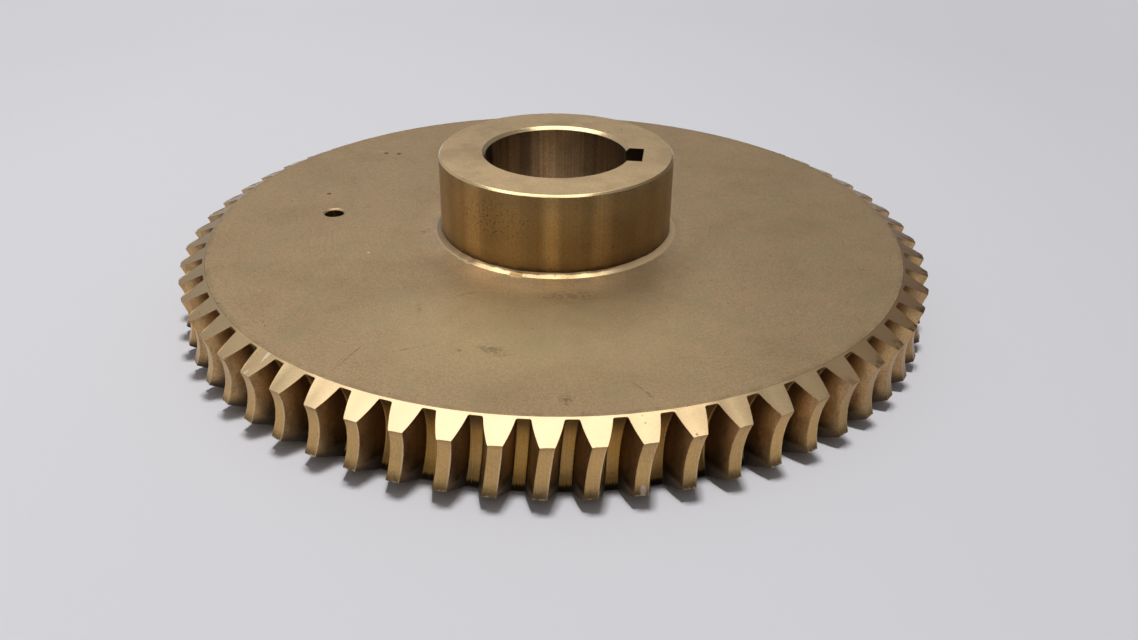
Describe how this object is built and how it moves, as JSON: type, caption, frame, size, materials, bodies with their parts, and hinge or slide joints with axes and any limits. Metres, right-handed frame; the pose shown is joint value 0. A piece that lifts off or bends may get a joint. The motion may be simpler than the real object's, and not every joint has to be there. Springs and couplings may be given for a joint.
{
  "type": "worm wheel",
  "caption": "Bronze worm wheel with throated helical teeth, a solid web, a one-sided hub, a keyed bore and a small hole through the web.",
  "frame": {"origin": "the bore's axis on the flat back face that the wheel lies on", "axes": "+Z along the bore towards the hub's nose, +X through the keyway and the tooth that lines up with it"},
  "size_m": [0.2682, 0.2682, 0.055],
  "materials": {
    "bronze": "machined, satin, lightly tarnished"
  },
  "bodies": {
    "root": {"worm_wheel": "bronze"}
  },
  "joints": []
}
